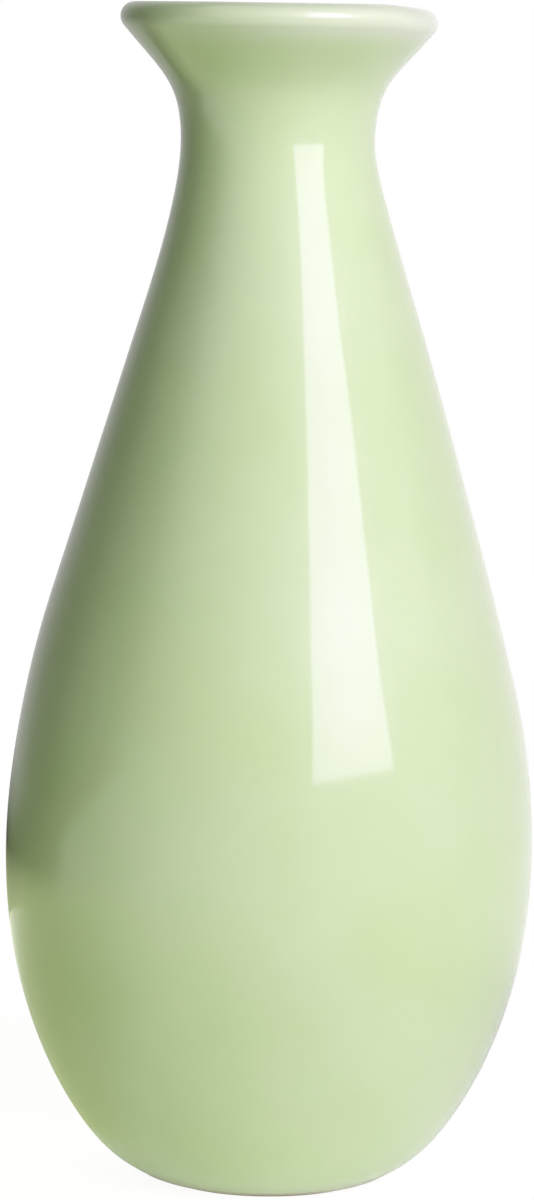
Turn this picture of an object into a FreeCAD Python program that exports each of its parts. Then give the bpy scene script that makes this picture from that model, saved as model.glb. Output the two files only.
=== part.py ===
import FreeCAD
import Part

import math
import os

# A pear-shaped flower vase in glazed stoneware: a low round belly, a long straight taper,
# a narrow neck and a flared mouth with a full round lip.
# The clay is one hollow casting on a shallow foot ring. Three coats of glaze lie on it:
# one outside, one inside, and one in the recess under the foot. The outer and the inner
# coat meet along the crown of the lip. The clay is bare where the vase stands.
# Millimetres, +Z up, the origin at the centre of the foot's standing face.

# Overall sizes, over the glaze.
HEIGHT = 250.0
BELLY_RADIUS = 56.2
BELLY_HEIGHT = 67.0
NECK_RADIUS = 20.4
FLARE_HEIGHT = 26.0
LIP_RADIUS = 33.3
LIP_ROUND = 3.0

# The lower edge of the outer glaze, just above the foot.
FOOT_RADIUS = 26.0
GLAZE_LINE_HEIGHT = 1.0

# Directions of the outline, in degrees: its rise where it leaves the foot, and its lean
# from the vertical where the outside and the inside reach the lip.
FOOT_ANGLE = 26.0
FLARE_ANGLE = 40.0
MOUTH_ANGLE = 30.0

# Thicknesses.
CLAY_WALL = 3.6
CLAY_FLOOR = 4.6
OUTER_GLAZE = 0.45
INNER_GLAZE = 0.45
FOOT_GLAZE = 0.4

# The foot ring and the recess that it goes round.
FOOT_RING_WIDTH = 4.6
RECESS_DEPTH = 2.2
RECESS_DRAFT_ANGLE = 30.0
RECESS_FILLET = 1.0

# Stations of the outline between its named places, from the lower place to the upper one,
# each as a share of the rise and a share of the change in radius.
FOOT_TO_BELLY_SHARES = [(0.06, 0.22), (0.20, 0.49), (0.45, 0.77), (0.75, 0.95)]
BELLY_TO_NECK_SHARES = [(0.22, 0.09), (0.46, 0.37), (0.72, 0.71), (0.90, 0.94)]
NECK_TO_LIP_SHARES = [(0.35, 0.12), (0.70, 0.54)]

# The radius of the flat floor inside, as a share of the foot's radius.
FLOOR_RADIUS_SHARE = 0.72

UPRIGHT_ANGLE = 90.0
HALF_TURN = 180.0
FULL_TURN = 360.0


def at(radius, height):
    """A point or a direction in the half section that is turned about the axis."""
    return FreeCAD.Vector(radius, 0, height)


def toward(angle):
    """The direction at an angle above the outward horizontal."""
    return at(math.cos(math.radians(angle)), math.sin(math.radians(angle)))


def line(start, end):
    return Part.makeLine(start, end)


def between(low, high, shares):
    """The stations between two places of the outline."""
    return [
        at(low.x + radius_share * (high.x - low.x), low.z + height_share * (high.z - low.z))
        for height_share, radius_share in shares
    ]


def smooth(points, first_direction, last_direction):
    """One smooth curve through the points, with its direction given at both ends."""
    curve = Part.BSplineCurve()
    ends = {"InitialTangent": first_direction, "FinalTangent": last_direction}
    curve.interpolate(Points=points, Scale=False, **ends)
    return curve


def moved_in(curve, stations, depth):
    """Stations of a curve that runs upward, moved square to it into the wall."""
    moved = []
    for station in stations:
        along = curve.tangent(curve.parameter(station))[0]
        moved.append(station + at(-along.z, along.x) * depth)
    return moved


def turned(*edges):
    """The solid that a closed half section makes when it is turned about the axis."""
    section = Part.Face(Part.Wire(Part.__sortEdges__(list(edges))))
    return section.revolve(at(0, 0), FreeCAD.Vector(0, 0, 1), FULL_TURN)


# The lip's round end runs from where the outside meets it, over the crown, to the inside.
LIP_START = -FLARE_ANGLE
LIP_CROWN = UPRIGHT_ANGLE
LIP_END = HALF_TURN - MOUTH_ANGLE

# The directions in which the curves reach their ends.
FOOT_DIRECTION = toward(FOOT_ANGLE)
FLARE_DIRECTION = toward(UPRIGHT_ANGLE - FLARE_ANGLE)
MOUTH_DIRECTION = toward(UPRIGHT_ANGLE - MOUTH_ANGLE)
LEVEL = toward(0)

# How deep the clay's lip and the inner glaze's lie under the finished one.
CLAY_LIP_DEPTH = OUTER_GLAZE
INNER_LIP_DEPTH = OUTER_GLAZE - INNER_GLAZE


def lip_point(depth, angle):
    """A point of the lip's round end, at a depth under the finished lip."""
    centre = at(LIP_RADIUS - LIP_ROUND, HEIGHT - LIP_ROUND)
    return centre + toward(angle) * (LIP_ROUND - depth)


def lip_arc(depth, first_angle, last_angle):
    """Part of the lip's round end, at a depth under the finished lip."""
    middle_angle = (first_angle + last_angle) / 2
    angles = (first_angle, middle_angle, last_angle)
    return Part.Arc(*[lip_point(depth, angle) for angle in angles]).toShape()


def outside_stations():
    """The outer glaze's stations, from its lower edge up to the lip."""
    foot = at(FOOT_RADIUS, GLAZE_LINE_HEIGHT)
    belly = at(BELLY_RADIUS, BELLY_HEIGHT)
    neck = at(NECK_RADIUS, HEIGHT - FLARE_HEIGHT)
    lip = lip_point(0, LIP_START)
    return [
        foot,
        *between(foot, belly, FOOT_TO_BELLY_SHARES),
        belly,
        *between(belly, neck, BELLY_TO_NECK_SHARES),
        neck,
        *between(neck, lip, NECK_TO_LIP_SHARES),
        lip,
    ]


STATIONS = outside_stations()
OUTSIDE = smooth(STATIONS, FOOT_DIRECTION, FLARE_DIRECTION)


def under_outer_glaze():
    """The clay's outer face, from the glaze line up to the lip."""
    wall = moved_in(OUTSIDE, STATIONS[:-1], OUTER_GLAZE)
    return smooth([*wall, lip_point(CLAY_LIP_DEPTH, LIP_START)], FOOT_DIRECTION, FLARE_DIRECTION)


def face_of_hollow(depth, lip_depth, floor_top):
    """A face of the hollow, from the edge of its flat floor up to the lip."""
    floor_edge = at(FOOT_RADIUS * FLOOR_RADIUS_SHARE, floor_top)
    wall = moved_in(OUTSIDE, STATIONS[1:-1], depth)
    return smooth([floor_edge, *wall, lip_point(lip_depth, LIP_END)], LEVEL, MOUTH_DIRECTION)


CLAY_FLOOR_TOP = RECESS_DEPTH + CLAY_FLOOR
FLOOR_TOP = CLAY_FLOOR_TOP + INNER_GLAZE

CLAY_OUTSIDE = under_outer_glaze()
CLAY_INSIDE = face_of_hollow(OUTER_GLAZE + CLAY_WALL, CLAY_LIP_DEPTH, CLAY_FLOOR_TOP)
INSIDE = face_of_hollow(OUTER_GLAZE + CLAY_WALL + INNER_GLAZE, INNER_LIP_DEPTH, FLOOR_TOP)


def standing_outer_radius():
    """Where the clay's outer face, carried on below the glaze line, meets the ground."""
    glaze_line = CLAY_OUTSIDE.StartPoint
    return glaze_line.x - glaze_line.z / math.tan(math.radians(FOOT_ANGLE))


def recess_radius(height, depth):
    """The radius of the recess's sloping wall at a height, under a depth of glaze."""
    draft = math.radians(RECESS_DRAFT_ANGLE)
    standing_inner_radius = standing_outer_radius() - FOOT_RING_WIDTH
    return standing_inner_radius - height * math.tan(draft) - depth / math.cos(draft)


def recess_edges(depth, low):
    """The recess from the axis out to its wall, and down the wall to a height."""
    ceiling = RECESS_DEPTH - depth
    corner = at(recess_radius(ceiling, depth), ceiling)
    fillet = RECESS_FILLET - depth
    slope = UPRIGHT_ANGLE - RECESS_DRAFT_ANGLE
    reach = fillet * math.tan(math.radians(slope / 2))
    ceiling_end = corner - LEVEL * reach
    wall_start = corner - toward(HALF_TURN - slope) * reach
    centre = ceiling_end - at(0, fillet)
    middle = centre + toward(UPRIGHT_ANGLE - slope / 2) * fillet
    return [
        line(at(0, ceiling), ceiling_end),
        Part.Arc(ceiling_end, middle, wall_start).toShape(),
        line(wall_start, at(recess_radius(low, depth), low)),
    ]


def clay_body():
    """The cast clay: foot ring, wall, floor and lip."""
    standing_inner = at(recess_radius(0, 0), 0)
    standing_outer = at(standing_outer_radius(), 0)
    return turned(
        *recess_edges(0, 0),
        line(standing_inner, standing_outer),
        line(standing_outer, CLAY_OUTSIDE.StartPoint),
        CLAY_OUTSIDE.toShape(),
        lip_arc(CLAY_LIP_DEPTH, LIP_START, LIP_CROWN),
        lip_arc(CLAY_LIP_DEPTH, LIP_CROWN, LIP_END),
        CLAY_INSIDE.toShape(),
        line(CLAY_INSIDE.StartPoint, at(0, CLAY_FLOOR_TOP)),
        line(at(0, CLAY_FLOOR_TOP), at(0, RECESS_DEPTH)),
    )


def outer_glaze():
    """The coat outside, from the glaze line up to the crown of the lip."""
    return turned(
        OUTSIDE.toShape(),
        lip_arc(0, LIP_START, LIP_CROWN),
        line(lip_point(0, LIP_CROWN), lip_point(CLAY_LIP_DEPTH, LIP_CROWN)),
        lip_arc(CLAY_LIP_DEPTH, LIP_START, LIP_CROWN),
        CLAY_OUTSIDE.toShape(),
        line(CLAY_OUTSIDE.StartPoint, OUTSIDE.StartPoint),
    )


def inner_glaze():
    """The coat inside, from the crown of the lip down over the floor."""
    return turned(
        INSIDE.toShape(),
        lip_arc(INNER_LIP_DEPTH, LIP_CROWN, LIP_END),
        line(lip_point(INNER_LIP_DEPTH, LIP_CROWN), lip_point(CLAY_LIP_DEPTH, LIP_CROWN)),
        lip_arc(CLAY_LIP_DEPTH, LIP_CROWN, LIP_END),
        CLAY_INSIDE.toShape(),
        line(CLAY_INSIDE.StartPoint, at(0, CLAY_FLOOR_TOP)),
        line(at(0, CLAY_FLOOR_TOP), at(0, FLOOR_TOP)),
        line(at(0, FLOOR_TOP), INSIDE.StartPoint),
    )


def foot_glaze():
    """The coat in the recess, down to the same height as the glaze line outside."""
    low = GLAZE_LINE_HEIGHT
    return turned(
        *recess_edges(0, low),
        *recess_edges(FOOT_GLAZE, low),
        line(at(recess_radius(low, 0), low), at(recess_radius(low, FOOT_GLAZE), low)),
        line(at(0, RECESS_DEPTH), at(0, RECESS_DEPTH - FOOT_GLAZE)),
    )


os.makedirs("parts", exist_ok=True)
for piece in (clay_body, outer_glaze, inner_glaze, foot_glaze):
    shape = piece()
    shape.exportStep(f"parts/{piece.__name__}.step")
    print(piece.__name__, shape.ShapeType, shape.isValid(), round(shape.Volume, 1), shape.BoundBox)
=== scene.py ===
import math

import bmesh
import bpy
import numpy as np
from mathutils import Matrix, Vector, noise


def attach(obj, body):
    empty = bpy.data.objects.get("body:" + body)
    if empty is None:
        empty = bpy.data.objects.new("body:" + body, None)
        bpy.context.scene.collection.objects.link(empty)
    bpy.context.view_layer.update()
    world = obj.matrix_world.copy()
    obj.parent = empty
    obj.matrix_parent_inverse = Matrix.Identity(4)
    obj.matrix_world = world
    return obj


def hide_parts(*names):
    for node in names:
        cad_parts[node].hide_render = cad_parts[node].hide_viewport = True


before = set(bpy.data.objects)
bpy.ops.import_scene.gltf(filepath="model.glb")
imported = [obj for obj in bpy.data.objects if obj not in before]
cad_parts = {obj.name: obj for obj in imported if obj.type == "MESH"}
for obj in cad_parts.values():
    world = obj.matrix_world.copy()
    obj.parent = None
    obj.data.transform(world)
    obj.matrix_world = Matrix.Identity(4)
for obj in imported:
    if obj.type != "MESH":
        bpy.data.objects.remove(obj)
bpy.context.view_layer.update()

# The looks of a pear-shaped celadon vase: its clay and its three coats of glaze, each a closed
# turned mesh that stands where its solid stands, with the slight unevenness of a real pot.
# Outlines are in millimetres, as in the part's source. Everything else is in metres.
MM = 0.001

# The part's own sizes.
HEIGHT = 250.0
BELLY_RADIUS = 56.2
BELLY_HEIGHT = 67.0
NECK_RADIUS = 20.4
FLARE_HEIGHT = 26.0
LIP_RADIUS = 33.3
LIP_ROUND = 3.0
FOOT_RADIUS = 26.0
GLAZE_LINE_HEIGHT = 1.0
FOOT_ANGLE = 26.0
FLARE_ANGLE = 40.0
MOUTH_ANGLE = 30.0
CLAY_WALL = 3.6
CLAY_FLOOR = 4.6
OUTER_GLAZE = 0.45
INNER_GLAZE = 0.45
FOOT_GLAZE = 0.4
FOOT_RING_WIDTH = 4.6
RECESS_DEPTH = 2.2
RECESS_DRAFT_ANGLE = 30.0
RECESS_FILLET = 1.0
FOOT_TO_BELLY_SHARES = [(0.06, 0.22), (0.20, 0.49), (0.45, 0.77), (0.75, 0.95)]
BELLY_TO_NECK_SHARES = [(0.22, 0.09), (0.46, 0.37), (0.72, 0.71), (0.90, 0.94)]
NECK_TO_LIP_SHARES = [(0.35, 0.12), (0.70, 0.54)]
FLOOR_RADIUS_SHARE = 0.72

# How finely the meshes are divided: round the axis, along the faces that show and the hidden
# ones in millimetres, and along the small arcs in degrees.
SEGMENTS = 256
SHOWN_STEP = 1.25
HIDDEN_STEP = 2.5
ARC_STEP = 5.0
SHARP_ANGLE = 40.0
ON_AXIS = 1e-6


def point(radius, height):
    return np.array([radius, height], float)


def toward(angle):
    """The direction at an angle in degrees above the outward horizontal."""
    return point(math.cos(math.radians(angle)), math.sin(math.radians(angle)))


def between(low, high, shares):
    """The stations between two places of the outline."""
    return [low + (high - low) * point(radius, height) for height, radius in shares]


def slopes(stations, first, last):
    """The directions, by length run, that make one smooth curve through the stations."""
    runs = np.linalg.norm(np.diff(stations, axis=0), axis=1)
    count = len(stations)
    matrix, right = np.zeros((count, count)), np.zeros((count, 2))
    matrix[0, 0] = matrix[-1, -1] = 1
    right[0], right[-1] = first, last
    for i in range(1, count - 1):
        before, after = runs[i - 1], runs[i]
        matrix[i, i - 1:i + 2] = after, 2 * (before + after), before
        rise = after / before * (stations[i] - stations[i - 1])
        rise = rise + before / after * (stations[i + 1] - stations[i])
        right[i] = 3 * rise
    return np.linalg.solve(matrix, right)


def smooth(stations, first, last, step):
    """Points along one smooth curve through the stations."""
    stations = np.array(stations)
    along = slopes(stations, first, last)
    points = [stations[:1]]
    for start, end, out, into in zip(stations, stations[1:], along, along[1:]):
        run = np.linalg.norm(end - start)
        t = np.linspace(0, 1, max(2, math.ceil(run / step)) + 1)[1:, None]
        points.append(
            start * (1 + 2 * t) * (1 - t) ** 2
            + end * t * t * (3 - 2 * t)
            + out * run * t * (1 - t) ** 2
            - into * run * t * t * (1 - t)
        )
    return np.concatenate(points)


def lip_arc(depth, first_angle, last_angle):
    """Points of the lip's round end, at a depth under the finished lip."""
    count = math.ceil(abs(last_angle - first_angle) / ARC_STEP)
    centre = point(LIP_RADIUS - LIP_ROUND, HEIGHT - LIP_ROUND)
    angles = np.linspace(first_angle, last_angle, count + 1)
    return np.array([centre + toward(angle) * (LIP_ROUND - depth) for angle in angles])


FOOT_DIRECTION = toward(FOOT_ANGLE)
FLARE_DIRECTION = toward(90 - FLARE_ANGLE)
MOUTH_DIRECTION = toward(90 - MOUTH_ANGLE)
LEVEL = toward(0)
LIP_START, LIP_CROWN, LIP_END = -FLARE_ANGLE, 90, 180 - MOUTH_ANGLE


def outside_stations():
    """The outer glaze's stations, from its lower edge up to the lip."""
    foot = point(FOOT_RADIUS, GLAZE_LINE_HEIGHT)
    belly = point(BELLY_RADIUS, BELLY_HEIGHT)
    neck = point(NECK_RADIUS, HEIGHT - FLARE_HEIGHT)
    lip = lip_arc(0, LIP_START, LIP_CROWN)[0]
    return np.array([
        foot,
        *between(foot, belly, FOOT_TO_BELLY_SHARES),
        belly,
        *between(belly, neck, BELLY_TO_NECK_SHARES),
        neck,
        *between(neck, lip, NECK_TO_LIP_SHARES),
        lip,
    ])


STATIONS = outside_stations()
STATION_SLOPES = slopes(STATIONS, FOOT_DIRECTION, FLARE_DIRECTION)


def moved_in(chosen, depth):
    """Chosen stations of the outside, moved square to it into the wall."""
    moved = []
    for station, slope in zip(STATIONS[chosen], STATION_SLOPES[chosen]):
        into = point(-slope[1], slope[0]) / np.linalg.norm(slope)
        moved.append(station + into * depth)
    return moved


def outside(step):
    return smooth(STATIONS, FOOT_DIRECTION, FLARE_DIRECTION, step)


def clay_outside(step):
    lip = lip_arc(OUTER_GLAZE, LIP_START, LIP_CROWN)[0]
    stations = [*moved_in(slice(None, -1), OUTER_GLAZE), lip]
    return smooth(stations, FOOT_DIRECTION, FLARE_DIRECTION, step)


def face_of_hollow(depth, lip_depth, floor_top, step):
    """A face of the hollow, from the edge of its flat floor up to the lip."""
    floor_edge = point(FOOT_RADIUS * FLOOR_RADIUS_SHARE, floor_top)
    lip = lip_arc(lip_depth, LIP_CROWN, LIP_END)[-1]
    stations = [floor_edge, *moved_in(slice(1, -1), depth), lip]
    return smooth(stations, LEVEL, MOUTH_DIRECTION, step)


CLAY_FLOOR_TOP = RECESS_DEPTH + CLAY_FLOOR
FLOOR_TOP = CLAY_FLOOR_TOP + INNER_GLAZE


def clay_inside(step):
    return face_of_hollow(OUTER_GLAZE + CLAY_WALL, OUTER_GLAZE, CLAY_FLOOR_TOP, step)


def inside(step):
    depth = OUTER_GLAZE + CLAY_WALL + INNER_GLAZE
    return face_of_hollow(depth, OUTER_GLAZE - INNER_GLAZE, FLOOR_TOP, step)


def level_run(start, end, step):
    """Points of a straight run, without its last."""
    count = max(1, math.ceil(np.linalg.norm(end - start) / step))
    return [start + (end - start) * i / count for i in range(count)]


def recess(depth, low):
    """The recess from the axis out to its wall, and down the wall to a height."""
    draft = math.radians(RECESS_DRAFT_ANGLE)
    slope = 90 - RECESS_DRAFT_ANGLE
    clay_foot = clay_outside(HIDDEN_STEP)[0]
    standing_outer = clay_foot[0] - clay_foot[1] / math.tan(math.radians(FOOT_ANGLE))

    def radius(height):
        standing_inner = standing_outer - FOOT_RING_WIDTH
        return standing_inner - height * math.tan(draft) - depth / math.cos(draft)

    ceiling = RECESS_DEPTH - depth
    fillet = RECESS_FILLET - depth
    reach = fillet * math.tan(math.radians(slope / 2))
    centre = point(radius(ceiling) - reach, ceiling - fillet)
    angles = np.linspace(90, 90 - slope, math.ceil(slope / ARC_STEP) + 1)
    corner = [centre + toward(angle) * fillet for angle in angles]
    middle = level_run(point(0, ceiling), corner[0], SHOWN_STEP)
    return np.array([*middle, *corner, point(radius(low), low)]), standing_outer


# A thicker bead where the outer glaze gathers at its lower edge, and how soon it starts.
BEAD_DEPTH = 0.16
BEAD_LENGTH = 1.5
BEAD_START = 0.25


def beaded(points):
    """The outer face of the glaze, thickened at its lower edge."""
    steps = np.linalg.norm(np.diff(points, axis=0), axis=1)
    run = np.concatenate([[0], np.cumsum(steps)])
    along = np.gradient(points, axis=0)
    out = np.stack([along[:, 1], -along[:, 0]], axis=1)
    out /= np.linalg.norm(out, axis=1)[:, None]
    thick = BEAD_DEPTH * np.exp(-((run / BEAD_LENGTH) ** 2)) * np.minimum(1, run / BEAD_START)
    return points + out * thick[:, None]


def clay_body_outline():
    under, standing_outer = recess(0, 0)
    floor_edge = clay_inside(HIDDEN_STEP)[0]
    return np.concatenate([
        under,
        [point(standing_outer, 0)],
        clay_outside(HIDDEN_STEP),
        lip_arc(OUTER_GLAZE, LIP_START, LIP_END)[1:],
        clay_inside(HIDDEN_STEP)[::-1][1:],
        level_run(floor_edge, point(0, CLAY_FLOOR_TOP), HIDDEN_STEP)[1:],
        [point(0, CLAY_FLOOR_TOP)],
    ])


def outer_glaze_outline():
    return np.concatenate([
        beaded(outside(SHOWN_STEP)),
        lip_arc(0, LIP_START, LIP_CROWN)[1:],
        lip_arc(OUTER_GLAZE, LIP_START, LIP_CROWN)[::-1],
        clay_outside(HIDDEN_STEP)[::-1][1:],
    ])


def inner_glaze_outline():
    floor_edge = inside(SHOWN_STEP)[0]
    clay_edge = clay_inside(HIDDEN_STEP)[0]
    return np.concatenate([
        level_run(point(0, FLOOR_TOP), floor_edge, SHOWN_STEP),
        inside(SHOWN_STEP),
        lip_arc(OUTER_GLAZE - INNER_GLAZE, LIP_END, LIP_CROWN)[1:],
        lip_arc(OUTER_GLAZE, LIP_CROWN, LIP_END),
        clay_inside(HIDDEN_STEP)[::-1][1:],
        level_run(clay_edge, point(0, CLAY_FLOOR_TOP), HIDDEN_STEP)[1:],
        [point(0, CLAY_FLOOR_TOP)],
    ])


def foot_glaze_outline():
    upper, _ = recess(0, GLAZE_LINE_HEIGHT)
    lower, _ = recess(FOOT_GLAZE, GLAZE_LINE_HEIGHT)
    return np.concatenate([upper, lower[::-1]])


# How the real pot leaves the true round shape. Its middle wanders sideways by this much at
# these heights, in millimetres, as the pot shrank unevenly in the kiln.
SWAY = [(0, -0.15), (45, -0.12), (80, 0), (100, 0), (116, -0.23), (133, 0), (155, 0.3),
        (186, 0.52), (206, 0.22), (222, -0.5), (236, -0.7), (250, -0.5)]
UNEVEN_DEPTH = 0.06
UNEVEN_SIZE = 34.0
# Its rim hangs by this much on the right, over a flare that stands out by that much. Both come
# in between the heights and the distances across that follow.
RIM_SINK = 1.0
SINK_HEIGHTS = (222, 240)
SINK_ACROSS = (20, LIP_RADIUS)
FLARE_SWELL = 0.6
SWELL_HEIGHTS = (218, 230)
SWELL_ENDS = (236, 246)
SWELL_ACROSS = (4, 20)


def sway(heights):
    """The sideways shift of the pot's middle at each height."""
    stations = np.array(SWAY)[:, ::-1]
    upward = point(0, 1)
    curve = smooth(stations, upward, upward, SHOWN_STEP)
    return np.interp(heights, curve[:, 1], curve[:, 0])


def uneven(spot):
    """How far the surface stands proud at a spot, in millimetres."""
    return UNEVEN_DEPTH * noise.noise(Vector(spot) / UNEVEN_SIZE)


def rise(value, low, high):
    """Goes smoothly from 0 at one value to 1 at the other."""
    share = min(1, max(0, (value - low) / (high - low)))
    return share * share * (3 - 2 * share)


def settled(spot):
    """Where a spot of the true shape lies after the rim sank on its right side."""
    flare = rise(spot.z, *SWELL_HEIGHTS) * (1 - rise(spot.z, *SWELL_ENDS))
    swell = FLARE_SWELL * rise(spot.x, *SWELL_ACROSS) * flare
    sink = RIM_SINK * rise(spot.x, *SINK_ACROSS) * rise(spot.z, *SINK_HEIGHTS)
    return spot + Vector((swell, 0, -sink))


def turned(name, outline):
    """A closed mesh that the outline makes when it is turned about the axis."""
    mesh = bmesh.new()
    angles = [2 * math.pi * i / SEGMENTS for i in range(SEGMENTS)]
    shifts = sway(outline[:, 1])
    rings = []
    for (radius, height), shift in zip(outline, shifts):
        if radius < ON_AXIS:
            rings.append([mesh.verts.new((shift * MM, 0, height * MM))])
            continue
        ring = []
        for angle in angles:
            out = Vector((math.cos(angle), math.sin(angle), 0))
            reach = radius + uneven((out.x * BELLY_RADIUS, out.y * BELLY_RADIUS, height))
            ring.append(mesh.verts.new(settled(out * reach + Vector((shift, 0, height))) * MM))
        rings.append(ring)
    loops = list(zip(rings, rings[1:]))
    if len(rings[0]) > 1:
        loops.append((rings[-1], rings[0]))
    for low, high in loops:
        for i in range(SEGMENTS):
            j = (i + 1) % SEGMENTS
            corners = [low[i % len(low)], low[j % len(low)], high[j % len(high)], high[i % len(high)]]
            unique = list(dict.fromkeys(corners))
            if len(unique) > 2:
                mesh.faces.new(unique)
    bmesh.ops.recalc_face_normals(mesh, faces=mesh.faces)
    data = bpy.data.meshes.new(name)
    mesh.to_mesh(data)
    mesh.free()
    data.shade_smooth()
    data.set_sharp_from_angle(angle=math.radians(SHARP_ANGLE))
    piece = bpy.data.objects.new(name, data)
    bpy.context.scene.collection.objects.link(piece)
    return piece


def add(tree, kind, inputs=(), **settings):
    """A node of a kind, with its settings, and its inputs set or linked by name or number."""
    made = tree.nodes.new(kind)
    for key, value in settings.items():
        setattr(made, key, value)
    for key, value in dict(inputs).items():
        if isinstance(value, bpy.types.NodeSocket):
            tree.links.new(value, made.inputs[key])
        else:
            made.inputs[key].default_value = value
    return made


def new_material(name):
    material = bpy.data.materials.new(name)
    material.use_nodes = True
    material.node_tree.nodes.clear()
    return material, material.node_tree


def finish_material(tree, shader):
    add(tree, "ShaderNodeOutputMaterial", {"Surface": shader})


def spots(tree, scale, detail=3.0, roughness=0.5):
    """Soft clouds from 0 to 1, as many to the metre as the scale says."""
    where = add(tree, "ShaderNodeTexCoord").outputs["Object"]
    inputs = {"Vector": where, "Scale": scale, "Detail": detail, "Roughness": roughness}
    return add(tree, "ShaderNodeTexNoise", inputs).outputs["Fac"]


def remap(tree, value, low, high, to_low=0.0, to_high=1.0):
    """Goes smoothly from one number to another while the value goes from low to high."""
    inputs = {"Value": value, "From Min": low, "From Max": high, "To Min": to_low, "To Max": to_high}
    return add(tree, "ShaderNodeMapRange", inputs, interpolation_type="SMOOTHSTEP").outputs[0]


def position(tree):
    """The spot's X, Y and Z on the object, as sockets by name."""
    where = add(tree, "ShaderNodeTexCoord").outputs["Object"]
    return add(tree, "ShaderNodeSeparateXYZ", {"Vector": where}).outputs


def height_share(tree, low, high):
    """Rises from 0 at one height to 1 at the other, heights in millimetres."""
    return remap(tree, position(tree)["Z"], low * MM, high * MM)


def lit_side_and_thin_glaze(tree):
    """How far the lip goes paler across it: partly a thinner glaze where the rim sank, and partly
    painted light, lit on the right and shaded on the left.
    """
    return remap(tree, position(tree)["X"], -LIP_RADIUS * MM, LIP_RADIUS * MM, *LIP_THIN_AND_LIT)


def multiply(tree, first, second):
    return add(tree, "ShaderNodeMath", {0: first, 1: second}, operation="MULTIPLY").outputs[0]


def mixed(tree, share, first, second):
    """A colour between two, each a socket or three numbers."""
    node = add(tree, "ShaderNodeMix", {0: share}, data_type="RGBA")
    for socket, value in ((node.inputs[6], first), (node.inputs[7], second)):
        if isinstance(value, bpy.types.NodeSocket):
            tree.links.new(value, socket)
        else:
            socket.default_value = (*value, 1)
    return node.outputs[2]


CELADON = (0.595, 0.735, 0.385)
# The deep colour is the glaze's own in its pools and grains, and also painted shade under the lip.
CELADON_DEEP_AND_SHADE = (0.54, 0.69, 0.32)
CELADON_PALE = (0.655, 0.775, 0.475)
# The lip's pale colour is partly a thinner glaze and partly painted light from above.
LIP_PALE_AND_LIT = (0.76, 0.82, 0.63)
# How far the lip goes to that colour, on the left and on the right: partly a thinner glaze, and partly
# painted light, paler on the lit right than on the shaded left.
LIP_THIN_AND_LIT = (0.25, 0.85)
# The heights in millimetres between which the glaze changes: into the painted shade under the lip
# and out of it, into the lip's paler colour, partly a thinner glaze and partly painted light, and
# out of the brown line at the lower edge.
UNDER_LIP_SHADE_RISE, UNDER_LIP_SHADE_FALL = (230, 239), (246, 240)
LIP_RISE = (240.5, 245.5)
EDGE_FALL = (2.2, 1.1)
# How many clouds, pools and grains the glaze has to the metre, the part of the noise in which
# each comes in, and how strongly it shows.
CLOUDS, CLOUD_RANGE, CLOUD_SHARE = 26.0, (0.35, 0.7), 0.7
POOLS, POOL_RANGE, POOL_SHARE = 9.0, (0.45, 0.72), 0.15
GRAINS, GRAIN_RANGE, GRAIN_SHARE = 900.0, (0.66, 0.8), 0.25
# How strongly the painted shade under the lip shows.
UNDER_LIP_SHADE_SHARE = 0.35
EDGE_SHARE = 0.7
GLAZE_EDGE = (0.38, 0.30, 0.17)
CLAY = (0.67, 0.60, 0.46)
CLAY_DARK = (0.50, 0.42, 0.29)

# The glaze's faint ripples and the clay's grains of sand: how many to the metre, and how
# strongly and deeply they show as relief. The sand and the stains of the clay also darken it.
RIPPLES, RIPPLE_STRENGTH, RIPPLE_DEPTH = 120.0, 0.06, 0.0004
SAND, SAND_STRENGTH, SAND_DEPTH = 2200.0, 0.5, 0.0002
SAND_RANGE, SAND_SHARE = (0.4, 0.75), 0.5
STAINS, STAIN_RANGE = 60.0, (0.35, 0.7)

CLAY_ROUGHNESS = 0.85
GLAZE_ROUGHNESS = 0.42
GLAZE_IOR = 1.5
COAT_ROUGHNESS = 0.07
COAT_IOR = 1.45


def relief(tree, height, strength, depth):
    """The surface's direction over a relief."""
    inputs = {"Height": height, "Strength": strength, "Distance": depth}
    return add(tree, "ShaderNodeBump", inputs).outputs["Normal"]


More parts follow.
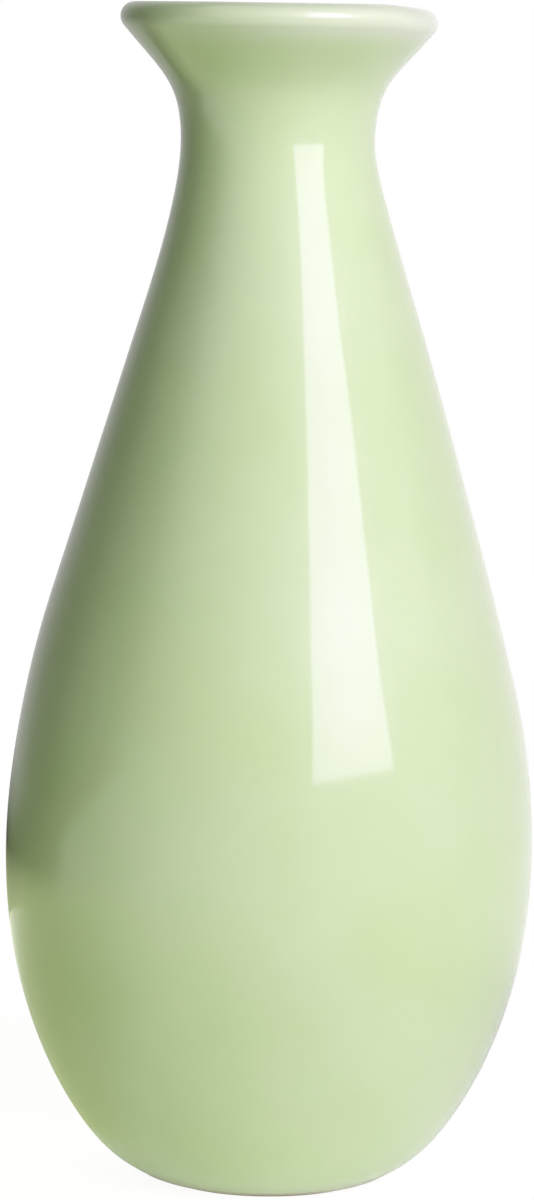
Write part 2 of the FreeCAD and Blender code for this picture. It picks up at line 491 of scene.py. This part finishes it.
def glaze(name, lip=True):
    """Pale celadon glaze: faintly clouded, with painted shade under the lip, and a paler lip that is
    partly a thinner glaze and partly painted light.
    """
    material, tree = new_material(name)
    clouds = remap(tree, spots(tree, CLOUDS), *CLOUD_RANGE)
    colour = mixed(tree, multiply(tree, clouds, CLOUD_SHARE), CELADON, CELADON_PALE)
    pools = remap(tree, spots(tree, POOLS, detail=2.0), *POOL_RANGE)
    colour = mixed(tree, multiply(tree, pools, POOL_SHARE), colour, CELADON_DEEP_AND_SHADE)
    grain = remap(tree, spots(tree, GRAINS, detail=2.0), *GRAIN_RANGE)
    colour = mixed(tree, multiply(tree, grain, GRAIN_SHARE), colour, CELADON_DEEP_AND_SHADE)
    if lip:
        # Painted shade under the flared lip.
        up, down = height_share(tree, *UNDER_LIP_SHADE_RISE), height_share(tree, *UNDER_LIP_SHADE_FALL)
        under_lip_shade = multiply(tree, multiply(tree, up, down), UNDER_LIP_SHADE_SHARE)
        colour = mixed(tree, under_lip_shade, colour, CELADON_DEEP_AND_SHADE)
        # The lip paler: partly a thinner glaze, partly painted light on its upper and right side.
        lit_and_thin = multiply(tree, height_share(tree, *LIP_RISE), lit_side_and_thin_glaze(tree))
        colour = mixed(tree, lit_and_thin, colour, LIP_PALE_AND_LIT)
        edge = multiply(tree, height_share(tree, *EDGE_FALL), EDGE_SHARE)
        colour = mixed(tree, edge, colour, GLAZE_EDGE)
    bump = relief(tree, spots(tree, RIPPLES, detail=1.0), RIPPLE_STRENGTH, RIPPLE_DEPTH)
    inputs = {
        "Base Color": colour,
        "Roughness": GLAZE_ROUGHNESS,
        "IOR": GLAZE_IOR,
        "Normal": bump,
        "Coat Weight": 1.0,
        "Coat Roughness": COAT_ROUGHNESS,
        "Coat IOR": COAT_IOR,
    }
    finish_material(tree, add(tree, "ShaderNodeBsdfPrincipled", inputs).outputs["BSDF"])
    return material


def bare_clay(name):
    """Fired clay: matt, with a fine sandy grain."""
    material, tree = new_material(name)
    sand = spots(tree, SAND, detail=4.0, roughness=0.7)
    stain = remap(tree, spots(tree, STAINS), *STAIN_RANGE)
    colour = mixed(tree, stain, CLAY, CLAY_DARK)
    colour = mixed(tree, remap(tree, sand, *SAND_RANGE, 0.0, SAND_SHARE), colour, CLAY_DARK)
    bump = relief(tree, sand, SAND_STRENGTH, SAND_DEPTH)
    inputs = {"Base Color": colour, "Roughness": CLAY_ROUGHNESS, "Normal": bump}
    finish_material(tree, add(tree, "ShaderNodeBsdfPrincipled", inputs).outputs["BSDF"])
    return material


PIECES = [
    ("clay", "clay_body", "bare_clay", clay_body_outline, bare_clay("bare_clay")),
    ("glaze_outside", "outer_glaze", "outer_glaze", outer_glaze_outline, glaze("outer_glaze")),
    ("glaze_inside", "inner_glaze", "inner_glaze", inner_glaze_outline, glaze("inner_glaze")),
    ("glaze_under_foot", "foot_glaze", "foot_glaze", foot_glaze_outline, glaze("foot_glaze", False)),
]
for name, node, slot, outline, material in PIECES:
    piece = turned(name, outline())
    piece.data.materials.append(material)
    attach(piece, "root")
    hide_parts(node)


# The studio. Bearings are in degrees round the vase, from the camera's side toward the right.
def place(bearing, distance, height):
    angle = math.radians(bearing)
    return Vector((math.sin(angle) * distance, -math.cos(angle) * distance, height))


def soft_box(name, bearing, distance, low, high, width, radiance, colour, lean, mirrored):
    """A flat lamp that faces the vase, of a radiance where 1 shows as white.

    Its lower edge stands at the distance, and its top leans away by some degrees. Where it isn't
    mirrored, the glaze shows no reflection of it.
    """
    light = bpy.data.lights.new(name, "AREA")
    slant = (high - low) / math.cos(math.radians(lean))
    light.shape = "RECTANGLE"
    light.size, light.size_y = width, slant
    light.energy = math.pi * radiance * width * slant
    light.color = colour
    lamp = bpy.data.objects.new(name, light)
    back = (high - low) / 2 * math.tan(math.radians(lean))
    lamp.location = place(bearing, distance + back, (low + high) / 2)
    lamp.rotation_euler = (math.radians(90 + lean), 0, math.radians(bearing))
    lamp.visible_camera = False
    lamp.visible_glossy = mirrored
    bpy.context.scene.collection.objects.link(lamp)


# The colours of the lamps' light. The key is pinker than the rest, as the strip that it makes
# in the glaze is paler than the glaze round it.
KEY_COLOUR = (1.2, 0.84, 1.75)
KEY_MORE_COLOUR = (0.88, 0.98, 0.68)
FILL_COLOUR = (0.86, 1.09, 0.55)
SIDE_COLOUR = (1.0, 0.97, 1.16)
BACK_COLOUR = (1.0, 1.0, 1.0)
# Each lamp's name, bearing, distance, low and high edge, width, radiance, colour and lean, and
# whether the glaze mirrors it. The photo shows one soft box in the glaze, so only the key is
# mirrored. Light from its side that would make the reflection too bright comes from key_more.
LAMPS = [
    ("key", 37.0, 2.0, 0.37, 2.4, 1.38, 3.3, KEY_COLOUR, 18.0, True),
    ("key_more", 37.0, 2.1, 0.37, 2.4, 1.38, 1.55, KEY_MORE_COLOUR, 18.0, False),
    ("fill", 15.0, 3.0, 0.0, 3.0, 2.6, 1.8, FILL_COLOUR, 0.0, False),
    ("side", 95.0, 2.0, 0.0, 2.0, 2.0, 0.6, SIDE_COLOUR, 0.0, False),
    ("back", -174.0, 3.0, 0.2, 3.2, 3.0, 3.0, BACK_COLOUR, 0.0, False),
]
for lamp_row in LAMPS:
    soft_box(*lamp_row)


def seen_directly(tree):
    """1 for camera, glossy and transmission rays, else 0."""
    path = add(tree, "ShaderNodeLightPath").outputs
    rays = [path["Is Camera Ray"], path["Is Glossy Ray"], path["Is Transmission Ray"]]
    first = add(tree, "ShaderNodeMath", {0: rays[0], 1: rays[1]}, operation="MAXIMUM").outputs[0]
    return add(tree, "ShaderNodeMath", {0: first, 1: rays[2]}, operation="MAXIMUM").outputs[0]


def seen_or_lighting(tree, seen, lighting):
    """A strength that differs where it is seen or mirrored and where it lights something."""
    inputs = {0: seen_directly(tree), 2: lighting, 3: seen}
    return add(tree, "ShaderNodeMix", inputs).outputs[0]


# How brightly the white room lights the vase, and how brightly the glaze mirrors it: plain
# white behind the vase, and brighter in front of it, most toward one bearing. In between it
# changes over a range of the cosine of the angle from that bearing, and from the horizon up
# over a range of the sine of the height.
AMBIENT = 0.06
BRIGHT_BEARING = 5.0
BRIGHT_RISE = (-0.35, 0.25)
BRIGHT_HEIGHT = (-0.05, 0.35)
BRIGHT_FRONT = 1.65


def white_room():
    world = bpy.data.worlds.new("room")
    bpy.context.scene.world = world
    world.use_nodes = True
    tree = world.node_tree
    tree.nodes.clear()
    direction = add(tree, "ShaderNodeTexCoord").outputs["Generated"]
    inputs = {0: direction, 1: place(BRIGHT_BEARING, 1, 0)}
    facing = add(tree, "ShaderNodeVectorMath", inputs, operation="DOT_PRODUCT").outputs["Value"]
    height = add(tree, "ShaderNodeSeparateXYZ", {"Vector": direction}).outputs["Z"]
    bright = remap(tree, height, *BRIGHT_HEIGHT, 1.0, BRIGHT_FRONT)
    mirrored = remap(tree, facing, *BRIGHT_RISE, 1.0, bright)
    strength = seen_or_lighting(tree, mirrored, AMBIENT)
    back = add(tree, "ShaderNodeBackground", {"Color": (1, 1, 1, 1), "Strength": strength})
    add(tree, "ShaderNodeOutputWorld", {"Surface": back.outputs[0]})


white_room()

FLOOR_REACH = 4.0
FLOOR_COLOUR = (0.80, 0.80, 0.80, 1)
# The floor near the vase glows as the camera sees it, with a little of the light and shadow
# that fall on it, and lights the vase from below. Between two distances it turns to plain white.
SHOWN_GLOW, SHOWN_COLOUR = 0.94, (0.11, 0.11, 0.11, 1)
POOL_GLOW = 0.19
NEAR_END, FAR_START = 0.13, 0.25
FLOOR_GRAINS, FLOOR_GRAIN_RANGE, FLOOR_GRAIN_GLOW = 40.0, (0.3, 0.7), (0.995, 1.005)


def distance_out(tree):
    """How far a spot of a stage sheet lies from the vase's middle."""
    where = add(tree, "ShaderNodeTexCoord").outputs["Object"]
    return add(tree, "ShaderNodeVectorMath", {0: where}, operation="LENGTH").outputs["Value"]


def floor_material():
    """A pale floor, white where it is seen, that keeps the vase's shadow near it."""
    material, tree = new_material("floor")
    grain = remap(tree, spots(tree, FLOOR_GRAINS), *FLOOR_GRAIN_RANGE, *FLOOR_GRAIN_GLOW)
    plain = add(tree, "ShaderNodeBsdfDiffuse", {"Color": FLOOR_COLOUR}).outputs[0]
    pool = add(tree, "ShaderNodeEmission", {"Strength": POOL_GLOW}).outputs[0]
    lit = add(tree, "ShaderNodeAddShader", {0: plain, 1: pool}).outputs[0]
    glow = add(tree, "ShaderNodeEmission", {"Strength": multiply(tree, grain, SHOWN_GLOW)}).outputs[0]
    share = add(tree, "ShaderNodeBsdfDiffuse", {"Color": SHOWN_COLOUR}).outputs[0]
    shown = add(tree, "ShaderNodeAddShader", {0: glow, 1: share}).outputs[0]
    white = add(tree, "ShaderNodeEmission", {"Strength": 1.0}).outputs[0]
    camera = add(tree, "ShaderNodeLightPath").outputs["Is Camera Ray"]
    near = add(tree, "ShaderNodeMixShader", {0: camera, 1: lit, 2: shown}).outputs[0]
    far = add(tree, "ShaderNodeMixShader", {0: seen_directly(tree), 1: plain, 2: white}).outputs[0]
    fade = remap(tree, distance_out(tree), NEAR_END, FAR_START)
    finish_material(tree, add(tree, "ShaderNodeMixShader", {0: fade, 1: near, 2: far}).outputs[0])
    return material


def sheet_object(name, rows, material):
    """A stage sheet whose faces lie between rows of points."""
    count = len(rows[0])
    faces = [
        (row * count + i, row * count + i + 1, (row + 1) * count + i + 1, (row + 1) * count + i)
        for row in range(len(rows) - 1)
        for i in range(count - 1)
    ]
    data = bpy.data.meshes.new(name)
    data.from_pydata([spot for row in rows for spot in row], [], faces)
    data.materials.append(material)
    sheet = bpy.data.objects.new(name, data)
    bpy.context.scene.collection.objects.link(sheet)
    return sheet


FLOOR_ROWS = [[(x, y, 0) for x in (-FLOOR_REACH, FLOOR_REACH)] for y in (-FLOOR_REACH, FLOOR_REACH)]
sheet_object("floor", FLOOR_ROWS, floor_material())

# A dark card runs from the left round behind, out of the camera's sight, and keeps the left
# side deep in colour.
# Each of its uprights has a bearing, a distance, the height where the card starts, and the share
# of the view that it covers there. Where it starts at the floor, it also runs along the floor
# toward the vase and covers all of that.
CARD_UPRIGHTS = [
    (-178, 0.41, 0, 0.1),
    (-168, 0.41, 0, 0.45),
    (-155, 0.41, 0, 0.45),
    (-140, 0.43, 0, 0.55),
    (-127, 0.45, 0, 0.8),
    (-114, 0.55, 0, 1.0),
    (-104, 0.68, 0, 1.0),
    (-94, 0.85, 0.01, 1.0),
    (-84, 1.0, 0.06, 1.0),
    (-74, 1.1, 0.13, 0.95),
    (-62, 1.2, 0.21, 0.55),
    (-48, 1.3, 0.3, 0.25),
    (-34, 1.4, 0.3, 0.1),
    (-20, 1.45, 0.3, 0.05),
    (-8, 1.5, 0.3, 0),
]
# Its lower edge fades in over this height.
CARD_EDGE = 0.05
CARD_HEIGHT = 1.3
CARD_COLOUR = (0.03, 0.03, 0.03, 1)
# A sheet of green paper lies on the floor between the card and the vase, and shines up at it.
# From the second of its distances to the third it fades out, over the card's run on the floor.
PAPER_NEAR, PAPER_FULL, PAPER_FAR = 0.04, 0.27, 0.41
PAPER_COLOUR = (0.88, 1.0, 0.55, 1)
# How brightly it glows near the vase and far from it, as it is mirrored and as it lights.
PAPER_GLOW = (0.6, 1.5)
PAPER_LIGHT = (0.62, 0.42)
# It covers as much of the floor as the card covers of the view, but no more than this share.
PAPER_SHARE = 0.9
CLEARANCE = 0.003


def covered(name, surface, rows, shares):
    """A stage sheet out of the camera's sight, with a share of a surface over each of its points."""
    material, tree = new_material(name)
    shader = surface(tree)
    clear = add(tree, "ShaderNodeBsdfTransparent").outputs[0]
    cover = add(tree, "ShaderNodeAttribute", attribute_name="cover").outputs["Fac"]
    finish_material(tree, add(tree, "ShaderNodeMixShader", {0: cover, 1: clear, 2: shader}).outputs[0])
    sheet = sheet_object(name, rows, material)
    sheet.data.attributes.new("cover", "FLOAT", "POINT").data.foreach_set("value", shares)
    sheet.visible_camera = False


def black_surface(tree):
    return add(tree, "ShaderNodeBsdfDiffuse", {"Color": CARD_COLOUR}).outputs[0]


def green_glow(tree):
    distance = distance_out(tree)
    mirrored = remap(tree, distance, PAPER_NEAR, PAPER_FAR, *PAPER_GLOW)
    lighting = remap(tree, distance, PAPER_NEAR, PAPER_FULL, *PAPER_LIGHT)
    glow = seen_or_lighting(tree, mirrored, lighting)
    return add(tree, "ShaderNodeEmission", {"Color": PAPER_COLOUR, "Strength": glow}).outputs[0]


def upright(bearing, distance, start, share):
    """The card's points along one upright, and the share that is covered at each of them."""
    on_floor = float(start == 0)
    return [
        (place(bearing, PAPER_FULL, CLEARANCE), on_floor),
        (place(bearing, distance, CLEARANCE), on_floor),
        (place(bearing, distance, max(start, CLEARANCE * 2)), on_floor),
        (place(bearing, distance, start + CARD_EDGE), share),
        (place(bearing, distance, CARD_HEIGHT), share),
    ]


CARD_LEVELS = list(zip(*[upright(*row) for row in CARD_UPRIGHTS]))
CARD_ROWS = [[spot for spot, _ in level] for level in CARD_LEVELS]
CARD_COVER = [share for level in CARD_LEVELS for _, share in level]
covered("card", black_surface, CARD_ROWS, CARD_COVER)

PAPER_SHARES = [(bearing, min(share, PAPER_SHARE)) for bearing, _, _, share in CARD_UPRIGHTS]
PAPER_ROWS = [
    [place(bearing, distance, CLEARANCE * 2) for bearing, _ in PAPER_SHARES]
    for distance in (PAPER_NEAR, PAPER_FULL, PAPER_FAR)
]
PAPER_COVER = [share * row for row in (1, 1, 0) for _, share in PAPER_SHARES]
covered("paper", green_glow, PAPER_ROWS, PAPER_COVER)

# The camera stands a metre away at the lip's height, and looks a little down.
CAMERA_PLACE = (0, -1.0, 0.246)
NEAR_CLIP, FAR_CLIP = 0.05, 50
PHOTO_HEIGHT_PIXELS = 1200
FOCAL_PIXELS = 4737
SENSOR = 36.0
LOOK_DOWN = 6.955
TURN = 0.074
ROLL = 0.853


def photo_camera():
    lens = bpy.data.cameras.new("camera")
    lens.sensor_width = SENSOR
    lens.lens = FOCAL_PIXELS / PHOTO_HEIGHT_PIXELS * SENSOR
    lens.clip_start, lens.clip_end = NEAR_CLIP, FAR_CLIP
    camera = bpy.data.objects.new("camera", lens)
    aim = Matrix.Rotation(math.radians(TURN), 4, "Z")
    aim = aim @ Matrix.Rotation(math.radians(90 - LOOK_DOWN), 4, "X")
    aim = aim @ Matrix.Rotation(math.radians(ROLL), 4, "Z")
    camera.matrix_world = Matrix.Translation(CAMERA_PLACE) @ aim
    bpy.context.scene.collection.objects.link(camera)
    bpy.context.scene.camera = camera


photo_camera()
bpy.context.scene.view_settings.view_transform = "Standard"
